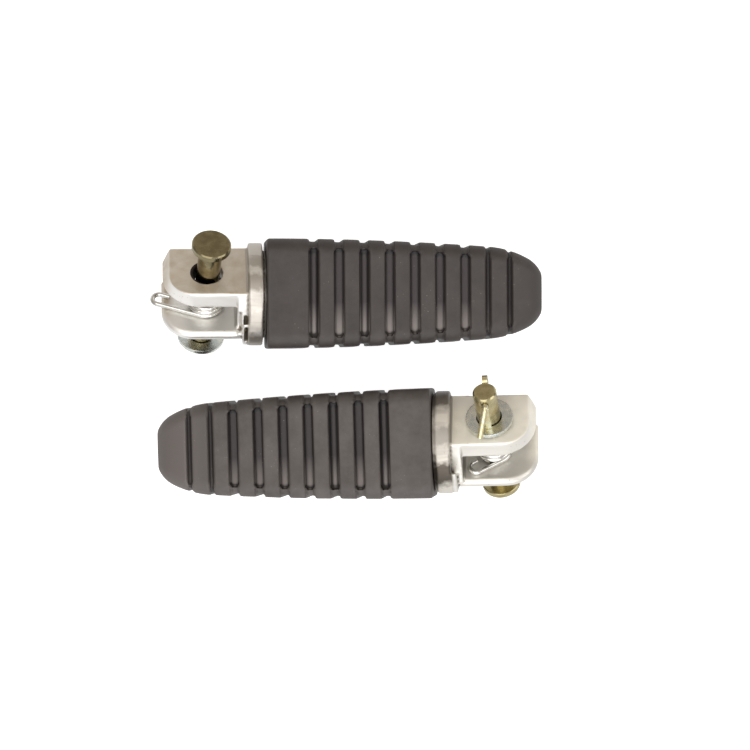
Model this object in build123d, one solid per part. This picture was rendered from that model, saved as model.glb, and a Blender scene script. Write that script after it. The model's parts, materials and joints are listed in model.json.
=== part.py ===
from build123d import *
import os
from math import radians, sin, cos

# hinge end, in the pin frame: x runs from the hinge to the tip, z along the pin bore
bore_radius = 5.0
top_ear_z = (3.9, 10.7)
top_ear_y = (-9.8, 11.5)
low_ear_z = (-10.5, -5.5)
low_ear_y = (-13.0, 12.0)
ear_end_x = -15.0
top_face_setback = 2.0
top_corner_radius = 8.5
top_root_corner_radius = 13.5
low_corner_radius = 11.0
low_outer_round = 3.6
low_inner_bevel = 1.1
back_corner_radius = 0.8
web_x = 10.5
ear_into_web = 1.0
web_back_bevel = 2.0
web_far_step = 0.3

# collar, neck and the hidden spigot
collar_radius = 17.4
collar_x = (14.2, 19.1)
collar_edge = 0.6
stop_x = 12.4
stop_below_y = -10.5
stop_setback = 0.3
neck_radius = 14.6
rubber_x = (20.2, 113.8)
spigot_radii = (9.8, 7.2)
spigot_end_x = 101.0
barb_height = 1.2
barb_length = 4.0
barb_starts = (38.0, 64.0, 90.0)

# rubber sleeve: half sizes where it starts, half way, at the shoulder, the nose and the tip
sleeve_x = (rubber_x[0], 58.0, 95.0, 108.5, rubber_x[1])
half_widths = (18.5, 17.7, 15.65, 11.95, 6.6)
half_heights = (17.75, 16.75, 14.7, 11.4, 6.3)
long_edge_round = 5.2
wide_end_round = 0.8
groove_first_x = 34.2
groove_pitch = 8.53
groove_width = 3.3
groove_count = 7
groove_depth = 2.7
groove_rail = 3.4
narrow_groove_x = (93.8, 101.2)
narrow_groove_width = 1.9
narrow_groove_depth = 1.3
narrow_groove_rail = 1.9
ring_depth = 0.5

# hinge pin
pin_radius = 4.0
pin_length = 47.6
head_radius = 6.6
head_height = 2.3
head_chamfer = 0.45
tail_chamfer = 0.5
split_hole_from_tail = 2.4
split_hole_radius = 1.15

# washer
washer_outer_radius = 8.0
washer_hole_radius = 4.3
washer_thickness = 1.6
washer_edge = 0.15

# split pin: two half-round legs, flat faces together
leg_radius = 1.0
leg_split_gap = 0.05
leg_bend_radius = 1.2
eye_radius = 1.15
straight_leg_length = 10.85
splayed_leg_side = 3.0
splayed_leg_out = 3.6
wrap_angle = 115.0
shank_clearance = 0.15

# return spring
wire_radius = 0.85
coil_radius = 5.65
coil_pitch = 1.78
coil_turns = 2
coil_floor_gap = 0.03
long_leg_angle = 160.0
leg_angle_between = 90.0
long_leg_length = 15.5
short_leg_length = 9.0
hook_radius = 2.25
long_tail_length = 3.0
short_tail_length = 1.6

# how each peg lies: roll of the pin from upright, tip-down tilt, turn in plan, hinge position
left_pose = {"roll": 41.6, "tilt": 3.85, "turn": 0.3, "at": (-57.2, 27.5), "lean": 4.0}
right_pose = {"roll": 39.8, "tilt": 4.3, "turn": 1.6, "at": (40.3, -22.1), "lean": 4.0}
left_head_under = 22.6
left_pin_turn = -66.0
left_washer_gap = 0.05
right_hole_at = 24.0
right_washer_lift = 0.75
right_pin_turn = 0.0
right_spring_turn = -100.7


def between(low, high):
    """A box given by its two opposite corners."""
    size = [h - l for l, h in zip(low, high)]
    middle = [(h + l) / 2 for l, h in zip(low, high)]
    return Pos(*middle) * Box(*size)


def disc_along_x(radius, start, end):
    return Pos(start, 0, 0) * Rot(0, 90, 0) * Cylinder(
        radius, end - start, align=(Align.CENTER, Align.CENTER, Align.MIN)
    )


def ear_outline(end_x, y_range, corner, z):
    """Plan of one ear with its front corner rounded, as a face at height z."""
    root_x = web_x + ear_into_web
    plan = Pos((end_x + root_x) / 2, sum(y_range) / 2) * Rectangle(
        root_x - end_x, y_range[1] - y_range[0]
    )
    front = plan.vertices().sort_by(lambda v: v.X + v.Y)[0]
    plan = fillet(front, corner)
    back = plan.vertices().sort_by(lambda v: v.X - v.Y)[0]
    plan = fillet(back, back_corner_radius)
    return Pos(0, 0, z) * plan


def top_ear():
    """The near ear: its end wall leans out from the outer face to the slot."""
    low = ear_outline(ear_end_x, top_ear_y, top_root_corner_radius, top_ear_z[0])
    high = ear_outline(
        ear_end_x + top_face_setback, top_ear_y, top_corner_radius, top_ear_z[1]
    )
    return loft([low.face(), high.face()], ruled=True)


def low_ear():
    """The far ear: wider, its outer rim rounded and its slot rim bevelled."""
    shoulder = low_ear_z[1] - low_inner_bevel
    plan = ear_outline(ear_end_x, low_ear_y, low_corner_radius, low_ear_z[0])
    ear = extrude(plan, shoulder - low_ear_z[0])
    rim = ear.edges().filter_by(lambda e: abs(e.center().Z - low_ear_z[0]) < 0.01)
    rim = rim.filter_by(lambda e: e.center().X < web_x)
    rim = rim.filter_by(lambda e: e.center().Y < low_ear_y[1] - back_corner_radius)
    ear = fillet(rim, low_outer_round)
    wide = ear_outline(ear_end_x, low_ear_y, low_corner_radius, shoulder)
    narrow = ear_outline(
        ear_end_x + low_inner_bevel, (low_ear_y[0] + low_inner_bevel, low_ear_y[1]),
        low_corner_radius - low_inner_bevel, low_ear_z[1],
    )
    return ear + loft([wide.face(), narrow.face()], ruled=True)


def web():
    """Solid root of the fork between the slot and the collar, a step below the far face."""
    low, high = low_ear_z[0] + web_far_step, top_ear_z[1]
    outline = Polyline(
        (top_ear_y[0], high), (top_ear_y[1], high), (low_ear_y[1], low_ear_z[1]),
        (low_ear_y[1] - web_back_bevel, low), (low_ear_y[0] + low_outer_round, low),
        (low_ear_y[0], low + low_outer_round), (low_ear_y[0], low_ear_z[1]),
        close=True,
    )
    face = make_face(Plane(origin=(web_x, 0, 0), x_dir=(0, 1, 0), z_dir=(1, 0, 0)) * outline)
    return extrude(face, (collar_x[0] + collar_x[1]) / 2 - web_x, dir=(1, 0, 0))


def fork():
    """Both ears and their root, bored for the pin."""
    body = top_ear() + low_ear() + web()
    return body - Cylinder(bore_radius, 4 * top_ear_z[1])


def spigot():
    """Tapered core inside the rubber, with three ramped barbs."""
    start = collar_x[1]
    taper = (spigot_radii[1] - spigot_radii[0]) / (spigot_end_x - rubber_x[0])
    points = [(start, 0), (start, spigot_radii[0]), (rubber_x[0], spigot_radii[0])]
    for x in barb_starts:
        radius = spigot_radii[0] + taper * (x - rubber_x[0])
        far = spigot_radii[0] + taper * (x + barb_length - rubber_x[0])
        points += [(x, radius), (x + 0.01, radius + barb_height), (x + barb_length, far)]
    points += [(spigot_end_x - 1.5, spigot_radii[1] + 0.05), (spigot_end_x, spigot_radii[1] - 1.5)]
    points += [(spigot_end_x, 0)]
    return revolve(make_face(Plane.XY * Polyline(*points, close=True)), Axis.X)


def collar():
    disc = disc_along_x(collar_radius, *collar_x)
    disc = fillet(disc.edges().filter_by(GeomType.CIRCLE), collar_edge)
    neck = disc_along_x(neck_radius, sum(collar_x) / 2, rubber_x[0])
    stop = disc_along_x(collar_radius - stop_setback, stop_x, sum(collar_x) / 2)
    reach = 2 * collar_radius
    stop &= between((0, -reach, -reach), (collar_x[1], stop_below_y, reach))
    return disc + neck + stop


def casting(roll):
    """Fork, collar and spigot in one piece, tread faces level."""
    return (Rot(-roll, 0, 0) * fork() + collar() + spigot()).solid()


def sleeve_outline(halves, inset):
    """One outline of the sleeve, its flank, shoulder and nose as arcs that run on smoothly."""
    points = [(x, half - inset) for x, half in zip(sleeve_x, halves)]
    flank = ThreePointArc(*points[:3])
    shoulder = TangentArc(points[2], points[3], tangent=flank % 1)
    nose = TangentArc(points[3], points[4], tangent=shoulder % 1)
    half = [flank, shoulder, nose]
    ends = [Line((x, -y), (x, y)) for x, y in (points[0], points[4])]
    return make_face(half + [mirror(edge, about=Plane.XZ) for edge in half] + ends)


def sleeve(inset):
    """Where the outlines from above and from the side cross, with the long edges rounded."""
    reach = 2 * half_widths[0]
    from_above = extrude(sleeve_outline(half_widths, inset), reach, both=True)
    from_side = extrude(Plane.XZ * sleeve_outline(half_heights, inset), reach, both=True)
    body = (from_above & from_side).solid()
    long_edges = body.edges().filter_by(
        lambda e: abs(e.center().Y) > half_widths[-1] - inset + 0.1
        and abs(e.center().Z) > half_heights[-1] - inset + 0.1
        and abs(e.center().X - rubber_x[0]) > 0.1
    )
    return fillet(long_edges, long_edge_round - inset)


def half_size(halves, x):
    """Half size of the sleeve at x, between the places where it is given."""
    near = max(i for i, at in enumerate(sleeve_x[:-1]) if at <= x)
    share = (x - sleeve_x[near]) / (sleeve_x[near + 1] - sleeve_x[near])
    return halves[near] + share * (halves[near + 1] - halves[near])


def groove(core, x, width, depth, rail):
    """Shallow ring all round, deepened across both treads between two side rails."""
    reach = 2 * half_widths[0]
    across = half_size(half_widths, x + width / 2) - rail
    floor = half_size(half_heights, x + width / 2) - depth
    ring = between((x, -reach, -reach), (x + width, reach, reach)) - core
    ring += between((x, -across, floor), (x + width, across, reach))
    return ring + between((x, -across, -reach), (x + width, across, -floor))


def make_rubber():
    """Tapered sleeve with grooves across both treads, pushed over the spigot."""
    body = sleeve(0)
    core = sleeve(ring_depth)
    end = body.edges().filter_by(lambda e: abs(e.center().X - rubber_x[0]) < 0.01)
    body = fillet(end, wide_end_round)
    for i in range(groove_count):
        body -= groove(core, groove_first_x + i * groove_pitch, groove_width,
                       groove_depth, groove_rail)
    for x in narrow_groove_x:
        body -= groove(core, x, narrow_groove_width, narrow_groove_depth, narrow_groove_rail)
    return (body - spigot()).solid()


def pin():
    """Clevis pin along z, underside of its head at z = 0, tail below."""
    profile = Polyline(
        (0, -pin_length), (pin_radius - tail_chamfer, -pin_length),
        (pin_radius, -pin_length + tail_chamfer), (pin_radius, 0),
        (head_radius - head_chamfer / 2, 0), (head_radius, head_chamfer / 2),
        (head_radius, head_height - head_chamfer), (head_radius - head_chamfer, head_height),
        (0, head_height), close=True,
    )
    body = revolve(make_face(Plane.XZ * profile), Axis.Z)
    hole = Pos(0, 0, -pin_length + split_hole_from_tail) * Rot(90, 0, 0)
    return (body - hole * Cylinder(split_hole_radius, 20)).solid()


def washer():
    """Plain washer, its lower face at z = 0."""
    ring = Cylinder(
        washer_outer_radius, washer_thickness, align=(Align.CENTER, Align.CENTER, Align.MIN)
    )
    ring = chamfer(ring.edges().filter_by(GeomType.CIRCLE), washer_edge)
    return (ring - Cylinder(washer_hole_radius, 10)).solid()


def half_round(at, along, flat_normal):
    """Half-disc section whose flat side faces flat_normal."""
    across = Vector(*along).cross(Vector(*flat_normal))
    plane = Plane(origin=at, x_dir=tuple(across), z_dir=along)
    disc = Circle(leg_radius)
    if (plane.y_dir - Vector(*flat_normal)).length < 0.01:
        cut = Pos(0, leg_radius - leg_split_gap) * Rectangle(4, 2 * leg_radius)
    else:
        cut = Pos(0, -leg_radius + leg_split_gap) * Rectangle(4, 2 * leg_radius)
    return plane * (disc - cut)


def bent_leg(side, out, drop, sign):
    """Leg from the eye through the hole, then bent to run toward the washer."""
    y_out = -pin_radius - shank_clearance - leg_bend_radius
    start = Vector(0, pin_radius + 0.3, 0)
    corner = Vector(0, y_out, 0)
    end = Vector(side, y_out - out, -drop)
    path = FilletPolyline(start, corner, end, radius=leg_bend_radius)
    return sweep(half_round(tuple(start), (0, -1, 0), (0, 0, sign)), path=path)


def wrapped_leg(side):
    """Leg through the hole, then bent round one side of the shank."""
    ring = pin_radius + shank_clearance + leg_radius
    start = pin_radius + 0.3
    straight = Pos(0, start, 0) * Rot(90, 0, 0) * Cylinder(
        leg_radius, start + ring, align=(Align.CENTER, Align.CENTER, Align.MIN)
    )
    disc = Circle(leg_radius) & Pos(2, 0) * Rectangle(4, 4)
    tail = revolve(
        Plane(origin=(0, -ring, 0), x_dir=(0, 1, 0), z_dir=(1, 0, 0)) * disc,
        Axis.Z, wrap_angle,
    )
    leg = (straight & between((0, -20, -5), (20, 20, 5))) + tail
    leg -= between((-20, -20, -5), (leg_split_gap, 0, 5))
    leg -= between((-20, 0, -5), (leg_split_gap, start - 0.2, 5))
    return leg if side > 0 else mirror(leg, about=Plane.YZ)


def eye():
    """Loop behind the shank that joins the two legs."""
    y = pin_radius + shank_clearance
    outer = eye_radius + leg_radius
    centre_y = y + outer
    ring = Rot(0, 90, 0) * Cylinder(outer, 2 * leg_radius * 0.9)
    ring -= Rot(0, 90, 0) * Cylinder(eye_radius - 0.15, 10)
    ring = Pos(0, centre_y, 0) * ring
    stub = between((-0.9, y - 0.05, -0.95), (0.9, y + 1.0, 0.95))
    return ring + stub


def split_pin(wrapped):
    """Split pin through y, its hole centre at the origin, washer side along -z."""
    if wrapped:
        return wrapped_leg(1) + wrapped_leg(-1) + Rot(0, 90, 0) * eye()
    legs = bent_leg(0.0, 0.0, straight_leg_length, 1)
    legs += bent_leg(splayed_leg_side, splayed_leg_out, straight_leg_length - 0.4, -1)
    return legs + eye()


def spring_path(flip):
    """Hooked long leg, two coils and a hooked short leg, as one wire path."""
    up = -1 if flip else 1
    start_angle = long_leg_angle + 90
    short_angle = long_leg_angle - leg_angle_between
    sweep_angle = 360 * coil_turns + (short_angle - 90 - start_angle) % 360
    rise = coil_pitch * sweep_angle / 360
    base = 0.0

    def ray(angle, length):
        return Vector(length * cos(radians(angle)), length * sin(radians(angle)), 0)

    z_long = Vector(0, 0, base if up > 0 else rise)
    z_short = Vector(0, 0, rise if up > 0 else base)
    first = ray(start_angle, coil_radius)
    last = ray(short_angle - 90, coil_radius)
    knee_long = first + ray(long_leg_angle, long_leg_length)
    over_long = knee_long + ray(long_leg_angle - 90, 2 * hook_radius)
    tip_long = over_long - ray(long_leg_angle, long_tail_length)
    knee_short = last + ray(short_angle, short_leg_length)
    over_short = knee_short + ray(short_angle + 90, 2 * hook_radius)
    tip_short = over_short - ray(short_angle, short_tail_length)
    hook_long = ThreePointArc(
        over_long + z_long,
        (knee_long + over_long) / 2 + ray(long_leg_angle, hook_radius) + z_long,
        knee_long + z_long,
    )
    hook_short = ThreePointArc(
        knee_short + z_short,
        (knee_short + over_short) / 2 + ray(short_angle, hook_radius) + z_short,
        over_short + z_short,
    )
    steps = 24 * coil_turns
    points = []
    for i in range(steps + 1):
        share = i / steps
        level = z_long.Z + (z_short.Z - z_long.Z) * share
        points.append(ray(start_angle + sweep_angle * share, coil_radius) + Vector(0, 0, level))
    coil = Spline(
        *points, tangents=(-ray(long_leg_angle, 1), ray(short_angle, 1)),
        tangent_scalars=(1, 1),
    )
    return Wire([
        Line(tip_long + z_long, over_long + z_long), hook_long,
        Line(knee_long + z_long, first + z_long), coil,
        Line(last + z_short, knee_short + z_short), hook_short,
        Line(over_short + z_short, tip_short + z_short),
    ])


def spring(flip):
    """Round wire along the spring path, lying on the far ear's slot face."""
    path = spring_path(flip)
    start = path @ 0
    tangent = path % 0
    wire = sweep(Plane(origin=start, z_dir=tangent) * Circle(wire_radius), path=path)
    return Pos(0, 0, low_ear_z[1] + wire_radius + coil_floor_gap) * wire


def along_pin(pose):
    """The leaning pin's axis, as a frame at the middle of the bore."""
    return Rot(-pose["roll"], 0, 0) * Rot(0, pose["lean"], 0)


def left_pieces():
    """Left peg: head on the near side, washer resting on the wrapped split pin."""
    pose = left_pose
    axis = along_pin(pose)
    roll = Rot(-pose["roll"], 0, 0)
    hole_at = left_head_under - pin_length + split_hole_from_tail
    washer_at = hole_at + leg_radius + left_washer_gap
    turned = axis * Pos(0, 0, left_head_under) * Rot(0, 0, left_pin_turn)
    hole = axis * Pos(0, 0, hole_at) * Rot(0, 0, left_pin_turn)
    return {
        "left_casting": casting(pose["roll"]),
        "left_rubber": rubber,
        "left_pin": turned * pin(),
        "left_split_pin": hole * split_pin(True),
        "left_washer": axis * Pos(0, 0, washer_at) * washer(),
        "left_spring": roll * spring(False),
    }


def right_pieces():
    """Right peg, built as a left one: tail and split pin on the near side."""
    pose = right_pose
    axis = along_pin(pose)
    roll = Rot(-pose["roll"], 0, 0)
    head_under = right_hole_at - pin_length + split_hole_from_tail
    turned = axis * Pos(0, 0, head_under) * Rot(0, 0, right_pin_turn) * Rot(180, 0, 0)
    hole = axis * Pos(0, 0, right_hole_at)
    lift = top_ear_z[1] + right_washer_lift
    return {
        "right_casting": casting(pose["roll"]),
        "right_rubber": rubber,
        "right_pin": turned * pin(),
        "right_split_pin": hole * Rot(0, 0, right_pin_turn) * split_pin(False),
        "right_washer": axis * Pos(0, 0, lift) * washer(),
        "right_spring": roll * Rot(0, 0, right_spring_turn) * spring(True),
    }


def place(pieces, pose, mirrored):
    """Tilt the tip down, turn in plan, then stand the peg on the floor."""
    tilt = Rot(0, pose["tilt"], 0)
    placed = {name: tilt * piece for name, piece in pieces.items()}
    if mirrored:
        placed = {name: mirror(piece, about=Plane.YZ) for name, piece in placed.items()}
    where = Pos(*pose["at"], 0) * Rot(0, 0, pose["turn"])
    placed = {name: where * piece for name, piece in placed.items()}
    floor = min(piece.bounding_box().min.Z for piece in placed.values())
    return {name: Pos(0, 0, -floor) * piece for name, piece in placed.items()}


rubber = make_rubber()
pieces = place(left_pieces(), left_pose, False)
pieces.update(place(right_pieces(), right_pose, True))
boxes = [piece.bounding_box() for piece in pieces.values()]
middle_x = (min(b.min.X for b in boxes) + max(b.max.X for b in boxes)) / 2
middle_y = (min(b.min.Y for b in boxes) + max(b.max.Y for b in boxes)) / 2
shift = Pos(-middle_x, -middle_y, -min(b.min.Z for b in boxes))
os.makedirs("parts", exist_ok=True)
for name, piece in pieces.items():
    piece = shift * piece
    part_box = piece.bounding_box()
    print(name, "volume", round(piece.volume, 1), "low", round(part_box.min.Z, 2),
          "solids", len(piece.solids()))
    export_step(piece, "parts/" + name + ".step")
print("shift", shift.position)
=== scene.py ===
import json
from math import radians, tan

import bmesh
import bpy
from mathutils import Matrix, Vector, noise

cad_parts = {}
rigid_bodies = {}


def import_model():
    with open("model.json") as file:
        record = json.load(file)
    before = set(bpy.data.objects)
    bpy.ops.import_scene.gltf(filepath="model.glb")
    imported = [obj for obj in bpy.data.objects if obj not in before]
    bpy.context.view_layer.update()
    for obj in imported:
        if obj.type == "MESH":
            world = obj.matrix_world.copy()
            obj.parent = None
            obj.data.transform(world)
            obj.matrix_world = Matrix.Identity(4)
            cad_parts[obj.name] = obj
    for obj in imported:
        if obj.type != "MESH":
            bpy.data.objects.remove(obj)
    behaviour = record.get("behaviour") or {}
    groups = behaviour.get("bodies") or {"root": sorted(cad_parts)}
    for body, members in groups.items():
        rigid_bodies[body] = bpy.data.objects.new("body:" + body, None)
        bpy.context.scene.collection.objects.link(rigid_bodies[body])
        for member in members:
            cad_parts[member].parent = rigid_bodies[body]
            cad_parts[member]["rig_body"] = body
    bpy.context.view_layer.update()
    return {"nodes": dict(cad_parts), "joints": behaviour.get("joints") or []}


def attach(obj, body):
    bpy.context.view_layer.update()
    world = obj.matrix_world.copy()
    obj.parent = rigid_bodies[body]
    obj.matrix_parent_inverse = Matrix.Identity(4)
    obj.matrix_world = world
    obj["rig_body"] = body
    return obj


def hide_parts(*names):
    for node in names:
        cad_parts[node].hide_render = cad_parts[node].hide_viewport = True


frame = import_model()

scene = bpy.context.scene
mm = 0.001

# How each peg lies, in degrees, as the frame has it; the right one is a mirror image
pegs = {
    "left": {"roll": 41.6, "tilt": 3.85, "turn": 0.3, "flip": 1},
    "right": {"roll": 39.8, "tilt": 4.3, "turn": 1.6, "flip": -1},
}


def hingePoint(side):
    joint = next(j for j in frame["joints"] if j["name"] == side + "_pin_spin")
    return Vector(joint["pos_m"])


def pegTurn(side, rolled):
    # how the peg is turned; rolled goes on to the fork's own frame, square to its bore
    lie = pegs[side]
    turned = Matrix.Rotation(radians(lie["turn"]), 4, "Z")
    turned = turned @ Matrix.Rotation(radians(lie["flip"] * lie["tilt"]), 4, "Y")
    if rolled:
        turned = turned @ Matrix.Rotation(radians(-lie["roll"]), 4, "X")
    return turned


def pegMatrix(side, rolled):
    # from peg millimetres, x towards the tip, to the row's metres
    scale = Matrix.Diagonal((pegs[side]["flip"] * mm, mm, mm, 1))
    return Matrix.Translation(hingePoint(side)) @ pegTurn(side, rolled) @ scale


# Materials

def linear(hexColour):
    # sRGB hex to the linear colour that the shader wants
    parts = [int(hexColour[i:i + 2], 16) / 255 for i in (1, 3, 5)]
    return [p / 12.92 if p <= 0.04045 else ((p + 0.055) / 1.055) ** 2.4 for p in parts] + [1.0]


def addNode(tree, kind, links, **settings):
    node = tree.nodes.new("ShaderNode" + kind)
    for name, value in settings.items():
        setattr(node, name, value)
    for socket, value in links.items():
        if isinstance(value, bpy.types.NodeSocket):
            tree.links.new(value, node.inputs[socket])
        else:
            node.inputs[socket].default_value = value
    return node


def newMaterial(name, slotColour):
    material = bpy.data.materials.new(name)
    material.use_nodes = True
    material.diffuse_color = linear(slotColour)
    tree = material.node_tree
    return material, tree, tree.nodes["Principled BSDF"]


def pegCoordinates(tree, side, rolled):
    # Object coordinates turned into the peg's own millimetres
    coordinate = addNode(tree, "TexCoord", {})
    return addNode(tree, "Mapping", {
        "Vector": coordinate.outputs["Object"],
        "Location": hingePoint(side),
        "Rotation": pegTurn(side, rolled).to_euler(),
        "Scale": (pegs[side]["flip"] * mm, mm, mm),
    }, vector_type="TEXTURE").outputs[0]


castLook = {
    # painted dark reflection bands across the collar: how far up the picture each lies, half its width,
    # and its strength
    "left": {
        # skin: a satin cast skin whose darker tan is painted shade and warm reflection
        "skin": "#CBBDA8", "collar": "#E2DDD6", "polished": "#FAF8F4", "stainAndReflectionTone": "#857C6E", "oxide": 0.5,
        "paintedReflectionBands": ((14.0, 9.0, 0.35), (10.8, 3.4, 0.6), (3.9, 4.2, 0.7), (-9.3, 5.0, 0.5),
                  (-17.0, 4.5, 0.75)),
    },
    "right": {
        "skin": "#FFFAEC", "collar": "#DAD4CA", "polished": "#EBE8E1", "stainAndReflectionTone": "#5A534B", "oxide": 0.95,
        "paintedReflectionBands": ((16.0, 5.5, 0.85), (2.4, 4.5, 0.5), (-10.3, 5.4, 1.0)),
    },
    "nearFaceMm": (10.2, 10.5), "endMm": (-10.5, -13.0), "endBackMm": (-7.0, 0.0),
    "collarMm": (13.2, 14.0), "skinAndShadeShare": (0.55, 1.0), "cornerDirt": (-0.15, -0.7),
    "stainMm": 5.5, "blotchShare": 0.6, "wobbleMm": 5.0, "bandCore": 0.4, "bandTrace": 0.12,
    "pitMm": 1.3, "pitSize": (0.16, 0.08), "pitShare": 0.5,
    "scratchMm": 0.4, "scratchStretch": 10.0, "scratchDeepMm": 0.03,
    "roughness": (0.32, 0.48), "oxide": 0.25,
    "grease": "#2E2721", "greaseMm": 5.35, "greaseRoughness": 0.8,
}


def skinAndShadeFaces(tree, parts):
    # where the duller skin lies, its darker tan painted in as shade and warm reflection: the near face,
    # and the back half of the ears' ends
    shares = []
    for axis, zone in (("Z", "nearFaceMm"), ("X", "endMm"), ("Y", "endBackMm")):
        start, full = castLook[zone]
        shares.append(addNode(tree, "MapRange", {
            "Value": parts.outputs[axis], "From Min": start, "From Max": full}).outputs[0])
    onFace, atEnd, atBack = shares
    onEnd = addNode(tree, "Math", {0: atEnd, 1: atBack}, operation="MULTIPLY")
    return addNode(tree, "Math", {0: onFace, 1: onEnd.outputs[0]}, operation="MAXIMUM").outputs[0]


def castStainsAndReflections(tree, side, cloud, blotches, onCollar):
    # stain blotches, and painted dark reflection bands along the collar, wavy at their edges, with only
    # a trace of both elsewhere
    look = castLook
    around = addNode(tree, "SeparateXYZ", {0: pegCoordinates(tree, side, False)})
    wobble = addNode(tree, "MapRange", {
        "Value": cloud, "From Min": 0.25, "From Max": 0.75,
        "To Min": -look["wobbleMm"] / 2, "To Max": look["wobbleMm"] / 2})
    height = addNode(tree, "Math", {0: around.outputs["Y"], 1: wobble.outputs[0]})
    stainsAndReflections = addNode(tree, "MapRange", {
        "Value": blotches, "From Min": 0.50, "From Max": 0.68, "To Max": look["blotchShare"]}).outputs[0]
    for centre, half, amount in look[side]["paintedReflectionBands"]:
        offset = addNode(tree, "Math", {0: height.outputs[0], 1: centre}, operation="SUBTRACT")
        distance = addNode(tree, "Math", {0: offset.outputs[0]}, operation="ABSOLUTE")
        strength = addNode(tree, "MapRange", {
            "Value": distance.outputs[0], "From Min": half, "From Max": half * look["bandCore"],
            "To Max": amount})
        stainsAndReflections = addNode(tree, "Math", {
            0: stainsAndReflections, 1: strength.outputs[0]}, operation="MAXIMUM").outputs[0]
    share = addNode(tree, "MapRange", {"Value": onCollar, "To Min": look["bandTrace"]})
    return addNode(tree, "Math", {0: stainsAndReflections, 1: share.outputs[0]}, operation="MULTIPLY").outputs[0]


def castPits(tree, place, cloud):
    # small pits, only in the cloud's densest parts
    look = castLook
    pits = addNode(tree, "TexVoronoi", {
        "Vector": place, "Scale": 1 / look["pitMm"], "Randomness": 1.0})
    start, full = look["pitSize"]
    pitted = addNode(tree, "MapRange", {
        "Value": pits.outputs["Distance"], "From Min": start, "From Max": full,
        "To Max": look["pitShare"]})
    rare = addNode(tree, "MapRange", {"Value": cloud, "From Min": 0.55, "From Max": 0.6})
    return addNode(tree, "Math", {
        0: pitted.outputs[0], 1: rare.outputs[0]}, operation="MULTIPLY").outputs[0]


def boreGrease(tree, parts):
    # inside the bore, measured from its axis
    flat = addNode(tree, "CombineXYZ", {0: parts.outputs["X"], 1: parts.outputs["Y"]})
    fromBore = addNode(tree, "VectorMath", {0: flat.outputs[0]}, operation="LENGTH")
    return addNode(tree, "Math", {
        0: fromBore.outputs["Value"], 1: castLook["greaseMm"]}, operation="LESS_THAN").outputs[0]


def castAluminium(side):
    # cast aluminium: polished edges and slot, a yellower satin skin on the near face and the ends, its
    # darker tan there painted shade and warm reflection
    look, own = castLook, castLook[side]
    material, tree, shader = newMaterial("castAluminium_" + side, own["polished"])
    place = pegCoordinates(tree, side, True)
    parts = addNode(tree, "SeparateXYZ", {0: place})
    cloud = addNode(tree, "TexNoise", {
        "Vector": place, "Scale": 1 / look["stainMm"], "Detail": 5.0, "Roughness": 0.6}).outputs[0]
    along = addNode(tree, "Mapping", {
        "Vector": place, "Scale": (1 / look["scratchStretch"], 1.0, 1.0)}).outputs[0]
    blotches = addNode(tree, "TexNoise", {
        "Vector": along, "Scale": 1 / look["stainMm"], "Detail": 3.0, "Roughness": 0.55}).outputs[0]
    scratch = addNode(tree, "TexNoise", {
        "Vector": along, "Scale": 1 / look["scratchMm"], "Detail": 3.0}).outputs[0]
    thin, thick = look["skinAndShadeShare"]
    skin = addNode(tree, "MapRange", {
        "Value": cloud, "From Min": 0.3, "From Max": 0.7, "To Min": thin, "To Max": thick})
    skinAndShadeShare = addNode(tree, "Math", {
        0: skinAndShadeFaces(tree, parts), 1: skin.outputs[0]}, operation="MULTIPLY").outputs[0]
    start, full = look["collarMm"]
    onCollar = addNode(tree, "MapRange", {
        "Value": parts.outputs["X"], "From Min": start, "From Max": full}).outputs[0]
    # darker in the hollows, where the bend attribute runs negative
    bend = addNode(tree, "Attribute", {}, attribute_name="bend").outputs["Fac"]
    start, full = look["cornerDirt"]
    hollowDark = addNode(tree, "MapRange", {"Value": bend, "From Min": start, "From Max": full})
    stainsAndReflections = castStainsAndReflections(tree, side, cloud, blotches, onCollar)
    darker = addNode(tree, "Math", {0: stainsAndReflections, 1: hollowDark.outputs[0]}, operation="MAXIMUM").outputs[0]
    inBore = boreGrease(tree, parts)
    colour = linear(own["polished"])
    for share, over in ((skinAndShadeShare, own["skin"]), (onCollar, own["collar"]), (darker, own["stainAndReflectionTone"]),
                        (castPits(tree, place, cloud), own["stainAndReflectionTone"]), (inBore, look["grease"])):
        colour = addNode(tree, "Mix", {
            0: share, 6: colour, 7: linear(over)}, data_type="RGBA").outputs[2]
    low, high = look["roughness"]
    rough = addNode(tree, "MapRange", {
        "Value": scratch, "From Min": 0.3, "From Max": 0.7, "To Min": high, "To Max": low})
    dulled = addNode(tree, "Mix", {
        0: inBore, 2: rough.outputs[0], 3: look["greaseRoughness"]}, data_type="FLOAT")
    metal = addNode(tree, "MapRange", {
        "Value": skinAndShadeShare, "To Min": 1 - look["oxide"], "To Max": 1 - own["oxide"]})
    bump = addNode(tree, "Bump", {
        "Height": scratch, "Strength": 0.12, "Distance": look["scratchDeepMm"] * mm})
    tree.links.new(colour, shader.inputs["Base Color"])
    tree.links.new(metal.outputs[0], shader.inputs["Metallic"])
    tree.links.new(dulled.outputs[0], shader.inputs["Roughness"])
    tree.links.new(bump.outputs[0], shader.inputs["Normal"])
    return material


rubberLook = {
    "left": {"colour": "#322D2B", "bloom": "#4D4744", "groove": "#4C4546", "grooveDustAndLight": "#A49C98",
             "nose": 0.45},
    "right": {"colour": "#403B38", "bloom": "#655F5C", "groove": "#403A3B", "grooveDustAndLight": "#8C8480",
              "nose": 1.0},
    "corner": "#121011", "cornerBend": (-0.2, -0.8), "cornerShare": 0.9,
    "noseMm": (88.0, 104.0), "dustAndLightFrontMm": (-3.0, -13.0), "bloomMm": 9.0,
    "speck": "#A39C95", "speckMm": 1.6, "speckSize": (0.10, 0.05), "speckShare": 0.6,
    "grainMm": 0.35, "grainDeepMm": 0.08, "roughness": 0.55,
}


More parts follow.
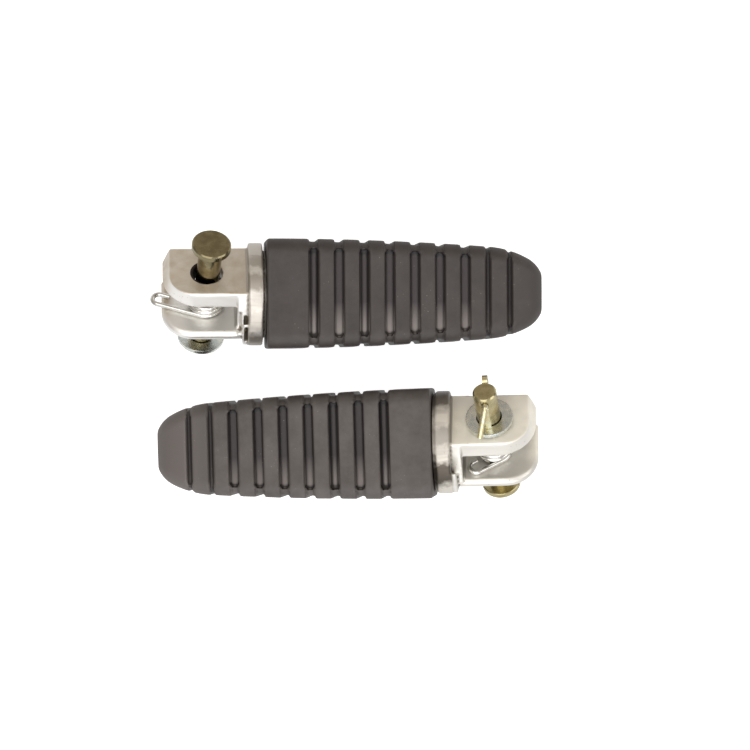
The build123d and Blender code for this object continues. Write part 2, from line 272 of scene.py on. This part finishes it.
def mouldedRubber(side):
    # vulcanised black rubber gone grey with bloom: dull, with painted shade darkening its corners, and
    # pale specks
    look, own = rubberLook, rubberLook[side]
    material, tree, shader = newMaterial("mouldedRubber_" + side, own["colour"])
    place = pegCoordinates(tree, side, False)
    depth = addNode(tree, "Attribute", {}, attribute_name="groove").outputs["Fac"]
    bend = addNode(tree, "Attribute", {}, attribute_name="bend").outputs["Fac"]
    cloud = addNode(tree, "TexNoise", {
        "Vector": place, "Scale": 1 / look["bloomMm"], "Detail": 6.0, "Roughness": 0.65})
    parts = addNode(tree, "SeparateXYZ", {0: place})
    # painted light: the nose is lightened towards the bloom colour
    nose = addNode(tree, "MapRange", {
        "Value": parts.outputs["X"], "From Min": look["noseMm"][0], "From Max": look["noseMm"][1],
        "To Max": own["nose"]})
    bloom = addNode(tree, "MapRange", {
        "Value": cloud.outputs[0], "From Min": 0.2, "From Max": 0.9})
    bloomAndNoseLight = addNode(tree, "Math", {0: bloom.outputs[0], 1: nose.outputs[0]}, operation="MAXIMUM")
    top = addNode(tree, "Mix", {
        0: bloomAndNoseLight.outputs[0], 6: linear(own["colour"]), 7: linear(own["bloom"])}, data_type="RGBA")
    # the groove floors lighten towards the front: dust, and painted light from the front
    start, full = look["dustAndLightFrontMm"]
    front = addNode(tree, "MapRange", {
        "Value": parts.outputs["Y"], "From Min": start, "From Max": full})
    floor = addNode(tree, "Mix", {
        0: front.outputs[0], 6: linear(own["groove"]), 7: linear(own["grooveDustAndLight"])},
        data_type="RGBA")
    dusted = addNode(tree, "Mix", {
        0: depth, 6: top.outputs[2], 7: floor.outputs[2]}, data_type="RGBA")
    # painted shade: corners and narrow grooves go towards near black
    start, full = look["cornerBend"]
    paintedCornerShade = addNode(tree, "MapRange", {
        "Value": bend, "From Min": start, "From Max": full, "To Max": look["cornerShare"]})
    cornered = addNode(tree, "Mix", {
        0: paintedCornerShade.outputs[0], 6: dusted.outputs[2], 7: linear(look["corner"])}, data_type="RGBA")
    specks = addNode(tree, "TexVoronoi", {
        "Vector": place, "Scale": 1 / look["speckMm"], "Randomness": 1.0})
    start, full = look["speckSize"]
    dot = addNode(tree, "MapRange", {
        "Value": specks.outputs["Distance"], "From Min": start, "From Max": full})
    rare = addNode(tree, "MapRange", {
        "Value": cloud.outputs[0], "From Min": 0.5, "From Max": 0.62, "To Max": look["speckShare"]})
    speckShown = addNode(tree, "Math", {
        0: dot.outputs[0], 1: rare.outputs[0]}, operation="MULTIPLY")
    colour = addNode(tree, "Mix", {
        0: speckShown.outputs[0], 6: cornered.outputs[2], 7: linear(look["speck"])}, data_type="RGBA")
    grain = addNode(tree, "TexNoise", {
        "Vector": place, "Scale": 1 / look["grainMm"], "Detail": 4.0})
    bump = addNode(tree, "Bump", {
        "Height": grain.outputs[0], "Strength": 0.3, "Distance": look["grainDeepMm"] * mm})
    tree.links.new(colour.outputs[2], shader.inputs["Base Color"])
    tree.links.new(bump.outputs[0], shader.inputs["Normal"])
    shader.inputs["Roughness"].default_value = look["roughness"]
    return material


platings = {
    "oliveZincPlate": {"colours": ("#80775A", "#978D70"), "patchMm": 3.0, "scratchMm": 0.35,
                       "roughness": (0.10, 0.20)},
    "yellowZincPlate": {"colours": ("#A99E76", "#C0B68F"), "patchMm": 3.0, "scratchMm": 0.35,
                        "roughness": (0.12, 0.24)},
    "clearZincPlate": {"colours": ("#E9EAE0", "#C6CFD2"), "patchMm": 2.5, "scratchMm": 0.4,
                       "roughness": (0.20, 0.34)},
    "paleYellowZincPlate": {"colours": ("#D6C894", "#DDD8C0"), "patchMm": 1.6, "scratchMm": 0.3,
                            "roughness": (0.16, 0.26)},
    "brightPlatedSpringWire": {"colours": ("#E4E3E0", "#D2D1CD"), "patchMm": 2.0, "scratchMm": 0.3,
                               "roughness": (0.05, 0.12)},
}


def platedSteel(name):
    # zinc-plated steel: a bright metal whose passivation shifts in colour from patch to patch
    look = platings[name]
    material, tree, shader = newMaterial(name, look["colours"][0])
    place = addNode(tree, "Mapping", {
        "Vector": addNode(tree, "TexCoord", {}).outputs["Object"], "Scale": (1 / mm,) * 3})
    patch = addNode(tree, "TexNoise", {
        "Vector": place.outputs[0], "Scale": 1 / look["patchMm"], "Detail": 5.0, "Roughness": 0.6})
    amount = addNode(tree, "MapRange", {
        "Value": patch.outputs[0], "From Min": 0.38, "From Max": 0.66})
    colour = addNode(tree, "Mix", {
        0: amount.outputs[0], 6: linear(look["colours"][0]), 7: linear(look["colours"][1])},
        data_type="RGBA")
    scratch = addNode(tree, "TexNoise", {
        "Vector": place.outputs[0], "Scale": 1 / look["scratchMm"], "Detail": 3.0})
    low, high = look["roughness"]
    rough = addNode(tree, "MapRange", {
        "Value": scratch.outputs[0], "From Min": 0.3, "From Max": 0.7, "To Min": low, "To Max": high})
    bump = addNode(tree, "Bump", {
        "Height": scratch.outputs[0], "Strength": 0.12, "Distance": 0.02 * mm})
    tree.links.new(colour.outputs[2], shader.inputs["Base Color"])
    tree.links.new(rough.outputs[0], shader.inputs["Roughness"])
    tree.links.new(bump.outputs[0], shader.inputs["Normal"])
    shader.inputs["Metallic"].default_value = 1.0
    return material


# Pieces


def mergedCopy(node):
    # the frame's mesh comes as loose triangles, so a copy has its corners joined first
    made = bmesh.new()
    made.from_mesh(frame["nodes"][node].data)
    bmesh.ops.remove_doubles(made, verts=made.verts, dist=0.001 * mm)
    return made


def addPiece(name, mesh, node, material):
    piece = bpy.data.objects.new(name, mesh)
    scene.collection.objects.link(piece)
    mesh.materials.clear()
    mesh.materials.append(material)
    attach(piece, frame["nodes"][node]["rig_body"])
    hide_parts(node)
    return piece


def plainObject(name, made):
    # a bmesh as an object in the scene
    mesh = bpy.data.meshes.new(name)
    made.to_mesh(mesh)
    made.free()
    piece = bpy.data.objects.new(name, mesh)
    scene.collection.objects.link(piece)
    return piece


def appliedMesh(piece, name):
    # the piece's modifiers, worked into one plain mesh
    bpy.context.view_layer.update()
    graph = bpy.context.evaluated_depsgraph_get()
    mesh = bpy.data.meshes.new_from_object(piece.evaluated_get(graph))
    mesh.name = name
    bpy.data.objects.remove(piece)
    return mesh


def markBends(made):
    # how far each point stands out of its neighbours (edges) or lies below them (corners)
    layer = made.verts.layers.float.new("bend")
    for vertex in made.verts:
        around = [edge.other_vert(vertex).co for edge in vertex.link_edges]
        middle = sum(around, Vector()) / len(around)
        vertex[layer] = (vertex.co - middle).dot(vertex.normal) / softening["bendMm"]
    smoothed = {v: sum(e.other_vert(v)[layer] for e in v.link_edges) / len(v.link_edges)
                for v in made.verts}
    for vertex, value in smoothed.items():
        vertex[layer] = max(-1.0, min(1.0, (vertex[layer] + value) / 2))


# What the photo shows on the castings and the solids leave out, in the fork's millimetres
castDetail = {
    "pockets": {
        "left": (((10.1, -20, -5.6), (12.0, -10.4, 2.9)), ((12.7, -20, -7.0), (14.0, -10.3, 1.6))),
        "right": (),
    },
    "neck": {"radius": 16.6, "from": 18.8, "to": 20.0},
    "lean": 3.4, "leanFades": (9.5, 13.6),
    "rim": {"above": 9.0, "before": 8.0, "fromBore": 6.4, "rounds": 6},
}

softening = {
    "insetMm": 0.01, "bendMm": 0.05,
    "casting": {"voxel": 0.38, "rounds": 3, "dentMm": 9.0, "dent": 0.05, "rolled": True},
    "rubber": {"voxel": 0.50, "rounds": 1, "dentMm": 12.0, "dent": 0.07, "rolled": False},
}


def boxObject(name, low, high):
    made = bmesh.new()
    bmesh.ops.create_cube(made, size=1)
    size = [h - l for l, h in zip(low, high)]
    middle = [(h + l) / 2 for l, h in zip(low, high)]
    place = Matrix.Translation(middle) @ Matrix.Diagonal((*size, 1))
    bmesh.ops.transform(made, matrix=place, verts=made.verts)
    return plainObject(name, made)


def addNeck(made):
    # the neck fills the gap behind the collar nearly to its rim
    neck = castDetail["neck"]
    place = Matrix.Translation(((neck["from"] + neck["to"]) / 2, 0, 0))
    place = place @ Matrix.Rotation(radians(90), 4, "Y")
    bmesh.ops.create_cone(
        made, cap_ends=True, segments=96, radius1=neck["radius"], radius2=neck["radius"],
        depth=neck["to"] - neck["from"], matrix=place)


def leanFork(made):
    # the near ear leans a little towards the tip, and its outer rim is run well round
    start, end = castDetail["leanFades"]
    slope = tan(radians(castDetail["lean"]))
    for vertex in made.verts:
        x, y, z = vertex.co
        share = max(0.0, min(1.0, (end - x) / (end - start)))
        vertex.co.x += max(0.0, z) * slope * share
    rim = castDetail["rim"]
    around = [v for v in made.verts if v.co.z > rim["above"] and v.co.x < rim["before"]
              and v.co.xy.length > rim["fromBore"]]
    for _ in range(rim["rounds"]):
        bmesh.ops.smooth_vert(
            made, verts=around, factor=0.5, use_axis_x=True, use_axis_y=True, use_axis_z=True)


def rawSolid(side, part, toWorld):
    # the solid in the peg's own millimetres
    made = mergedCopy(side + "_" + part)
    bmesh.ops.transform(made, matrix=toWorld.inverted(), verts=made.verts)
    if part == "casting":
        addNeck(made)
    bmesh.ops.recalc_face_normals(made, faces=made.faces)
    return plainObject(side + "_" + part + "_raw", made)


def softSolid(side, part):
    # a casting or moulding: the solid with its edges run round, and the slight waves of its surface
    plan = softening[part]
    node = side + "_" + part
    toWorld = pegMatrix(side, plan["rolled"])
    raw = rawSolid(side, part, toWorld)
    pockets = castDetail["pockets"][side] if part == "casting" else ()
    boxes = [boxObject(node + "_pocket", *box) for box in pockets]
    for box in boxes:
        cut = raw.modifiers.new("pocket", "BOOLEAN")
        cut.operation = "DIFFERENCE"
        cut.object = box
    remesh = raw.modifiers.new("skin", "REMESH")
    remesh.mode = "VOXEL"
    remesh.voxel_size = plan["voxel"]
    smooth = raw.modifiers.new("edges", "SMOOTH")
    smooth.factor = 0.5
    smooth.iterations = plan["rounds"]
    mesh = appliedMesh(raw, node + "_surface")
    for box in boxes:
        bpy.data.objects.remove(box)
    made = bmesh.new()
    made.from_mesh(mesh)
    if part == "casting":
        leanFork(made)
    made.normal_update()
    markBends(made)
    for vertex in made.verts:
        wave = noise.noise(vertex.co / plan["dentMm"]) * plan["dent"]
        vertex.co -= vertex.normal * (abs(wave) + softening["insetMm"])
    if part == "rubber":
        markGrooves(made)
    bmesh.ops.transform(made, matrix=toWorld, verts=made.verts)
    bmesh.ops.recalc_face_normals(made, faces=made.faces)
    made.to_mesh(mesh)
    made.free()
    mesh.shade_smooth()
    return mesh


# The sleeve's outline from above and from the side, and its grooves: start and width
sleeve = {
    "x": (20.2, 58.0, 95.0, 108.5, 113.8), "halfHeight": (17.75, 16.75, 14.7, 11.4, 6.3),
    "halfWidth": (18.5, 17.7, 15.65, 11.95, 6.6),
    "wide": [(34.2 + 8.53 * i, 3.3) for i in range(7)], "narrow": [(93.8, 1.9), (101.2, 1.9)],
    "wallMm": 0.2, "narrowWallMm": 0.3, "ringDeeper": 0.45,
    "plainMm": 6, "edgeMm": 3.0, "dustMm": (0.7, 1.9), "shadeMm": 0.4, "shade": -0.7,
}


def sleeveHalf(name, x):
    places, halves = sleeve["x"], sleeve[name]
    for i in range(len(places) - 1):
        if x <= places[i + 1]:
            share = (x - places[i]) / (places[i + 1] - places[i])
            return halves[i] + share * (halves[i + 1] - halves[i])
    return halves[-1]


def inGroove(x, grooves, wall):
    return any(start + wall < x < start + width - wall for start, width in grooves)


def markGrooves(made):
    # how deep each point lies under the treads, for the dust that settles there
    layer = made.verts.layers.float.new("groove")
    bend = made.verts.layers.float["bend"]
    shallow, deep = sleeve["dustMm"]
    for vertex in made.verts:
        x, y, z = vertex.co
        if x < sleeve["x"][0] + sleeve["plainMm"] or x > sleeve["x"][3]:
            continue
        ringed = inGroove(x, sleeve["wide"] + sleeve["narrow"], sleeve["wallMm"])
        if ringed and abs(vertex.normal.x) < 0.5:
            vertex.co -= vertex.normal * sleeve["ringDeeper"]
        under = sleeveHalf("halfHeight", x) - abs(z)
        inside = sleeveHalf("halfWidth", x) - abs(y)
        dust = max(0.0, min(1.0, (under - shallow) / (deep - shallow)))
        vertex[layer] = dust if inside > sleeve["edgeMm"] else 0.0
        # the narrow grooves are set to take the painted corner shade
        narrow = inGroove(x, sleeve["narrow"], sleeve["narrowWallMm"])
        if narrow and min(under, inside) > sleeve["shadeMm"]:
            vertex[bend] = sleeve["shade"]


brokenEdge = {"widthMm": 0.12, "segments": 3, "fromDegrees": 35}


def bevelledCopy(node, name, material):
    # turned and stamped pieces: the same solid with its sharp edges broken
    made = mergedCopy(node)
    mesh = bpy.data.meshes.new(name)
    made.to_mesh(mesh)
    made.free()
    piece = addPiece(name, mesh, node, material)
    bevel = piece.modifiers.new("edges", "BEVEL")
    bevel.width = brokenEdge["widthMm"] * mm
    bevel.segments = brokenEdge["segments"]
    bevel.limit_method = "ANGLE"
    bevel.angle_limit = radians(brokenEdge["fromDegrees"])
    mesh.shade_smooth()
    normals = piece.modifiers.new("normals", "WEIGHTED_NORMAL")
    normals.keep_sharp = False
    return piece


plated = {name: platedSteel(name) for name in platings}
pinPlating = {"left": "oliveZincPlate", "right": "yellowZincPlate"}
for side in pegs:
    casting = addPiece(side + "_castFork", softSolid(side, "casting"), side + "_casting",
                       castAluminium(side))
    ribbed = addPiece(side + "_ribbedSleeve", softSolid(side, "rubber"), side + "_rubber",
                      mouldedRubber(side))
    bevelledCopy(side + "_pin", side + "_clevisPin", plated[pinPlating[side]])
    bevelledCopy(side + "_washer", side + "_plainWasher", plated["clearZincPlate"])
    for part, plating in (("split_pin", "paleYellowZincPlate"), ("spring", "brightPlatedSpringWire")):
        frame["nodes"][side + "_" + part].material_slots[0].material = plated[plating]
    print("made the", side, "peg:", len(casting.data.polygons), "and",
          len(ribbed.data.polygons), "faces")


# Floor, light and camera

floorLook = {"size": 4.0, "colour": "#DADADA", "lift": 0.80, "mirrored": 0.9, "belowMm": 0.02}


def whiteFloor():
    # a matt white sweep: it keeps the shadow, and shows white to glossy reflections
    material, tree, shader = newMaterial("whiteFloor", floorLook["colour"])
    shader.inputs["Base Color"].default_value = linear(floorLook["colour"])
    shader.inputs["Roughness"].default_value = 1.0
    shader.inputs["Specular IOR Level"].default_value = 0.0
    path = addNode(tree, "LightPath", {})
    seen = addNode(tree, "Math", {
        0: path.outputs["Is Camera Ray"], 1: floorLook["lift"]}, operation="MULTIPLY")
    lifted = addNode(tree, "Emission", {
        "Color": linear("#FFFFFF"), "Strength": seen.outputs[0]})
    both = addNode(tree, "AddShader", {0: shader.outputs[0], 1: lifted.outputs[0]})
    white = addNode(tree, "Emission", {
        "Color": linear("#FFFFFF"), "Strength": floorLook["mirrored"]})
    mirrored = addNode(tree, "Math", {
        0: path.outputs["Is Glossy Ray"], 1: path.outputs["Is Transmission Ray"]},
        operation="MAXIMUM")
    shown = addNode(tree, "MixShader", {
        0: mirrored.outputs[0], 1: both.outputs[0], 2: white.outputs[0]})
    tree.links.new(shown.outputs[0], tree.nodes["Material Output"].inputs["Surface"])
    return material


def addFloor():
    made = bmesh.new()
    bmesh.ops.create_grid(made, x_segments=1, y_segments=1, size=floorLook["size"] / 2)
    floor = plainObject("floor", made)
    floor.data.transform(Matrix.Translation((0, 0, -floorLook["belowMm"] * mm)))
    floor.data.materials.append(whiteFloor())


skyLook = {"front": 0.95, "back": 0.50, "sides": 0.40, "warm": "#FFF3E4",
           "frontToBack": (-0.8, 0.8), "toSides": (0.55, 0.95)}


def addSky():
    # a small light tent: white in front, dimmer and warmer behind, darker at both sides; seen white
    world = bpy.data.worlds.new("studio")
    world.use_nodes = True
    scene.world = world
    tree = world.node_tree
    direction = addNode(tree, "TexCoord", {})
    parts = addNode(tree, "SeparateXYZ", {0: direction.outputs["Generated"]})
    start, full = skyLook["frontToBack"]
    depth = addNode(tree, "MapRange", {
        "Value": parts.outputs["Y"], "From Min": start, "From Max": full})
    level = addNode(tree, "MapRange", {
        "Value": depth.outputs[0], "To Min": skyLook["front"], "To Max": skyLook["back"]})
    sideways = addNode(tree, "Math", {0: parts.outputs["X"]}, operation="ABSOLUTE")
    start, full = skyLook["toSides"]
    edge = addNode(tree, "MapRange", {
        "Value": sideways.outputs[0], "From Min": start, "From Max": full,
        "To Min": 1.0, "To Max": skyLook["sides"]})
    shaped = addNode(tree, "Math", {0: level.outputs[0], 1: edge.outputs[0]}, operation="MULTIPLY")
    path = addNode(tree, "LightPath", {})
    strength = addNode(tree, "Mix", {
        0: path.outputs["Is Camera Ray"], 2: shaped.outputs[0], 3: 1.0}, data_type="FLOAT")
    unseen = addNode(tree, "Math", {0: 1.0, 1: path.outputs["Is Camera Ray"]}, operation="SUBTRACT")
    tint = addNode(tree, "Math", {0: depth.outputs[0], 1: unseen.outputs[0]}, operation="MULTIPLY")
    colour = addNode(tree, "Mix", {
        0: tint.outputs[0], 6: linear("#FFFFFF"), 7: linear(skyLook["warm"])}, data_type="RGBA")
    tree.links.new(strength.outputs[0], tree.nodes["Background"].inputs["Strength"])
    tree.links.new(colour.outputs[2], tree.nodes["Background"].inputs["Color"])


lamps = {
    "key": {"at": (0.05, -0.95, 0.80), "size": 1.2, "power": 6.5},
    "top": {"at": (-0.25, 0.05, 1.10), "size": 0.9, "power": 3.0},
    "side": {"at": (0.75, 0.05, 0.60), "size": 0.6, "power": 1.6},
}


def addLamps():
    for name, lamp in lamps.items():
        light = bpy.data.lights.new(name, "AREA")
        light.size = lamp["size"]
        light.energy = lamp["power"]
        holder = bpy.data.objects.new(name, light)
        holder.location = lamp["at"]
        aim = Vector((0.01, 0, 0.02)) - Vector(lamp["at"])
        holder.rotation_euler = aim.to_track_quat("-Z", "Y").to_euler()
        scene.collection.objects.link(holder)


cameraPlan = {"over": (9.90, -3.20), "height": 1221.5, "seenWidth": 253.9, "seenAt": 1200.0,
              "sensor": 36.0, "clip": (0.05, 20.0)}


def addCamera():
    # straight above, the row's +Y at the top of the picture
    data = bpy.data.cameras.new("camera")
    data.sensor_width = cameraPlan["sensor"]
    data.lens = data.sensor_width * cameraPlan["seenAt"] / cameraPlan["seenWidth"]
    data.clip_start, data.clip_end = cameraPlan["clip"]
    camera = bpy.data.objects.new("camera", data)
    x, y = cameraPlan["over"]
    camera.location = (x * mm, y * mm, cameraPlan["height"] * mm)
    scene.collection.objects.link(camera)
    scene.camera = camera


addFloor()
addSky()
addLamps()
addCamera()
scene.view_settings.view_transform = "Standard"
print("floor, light and camera are set")
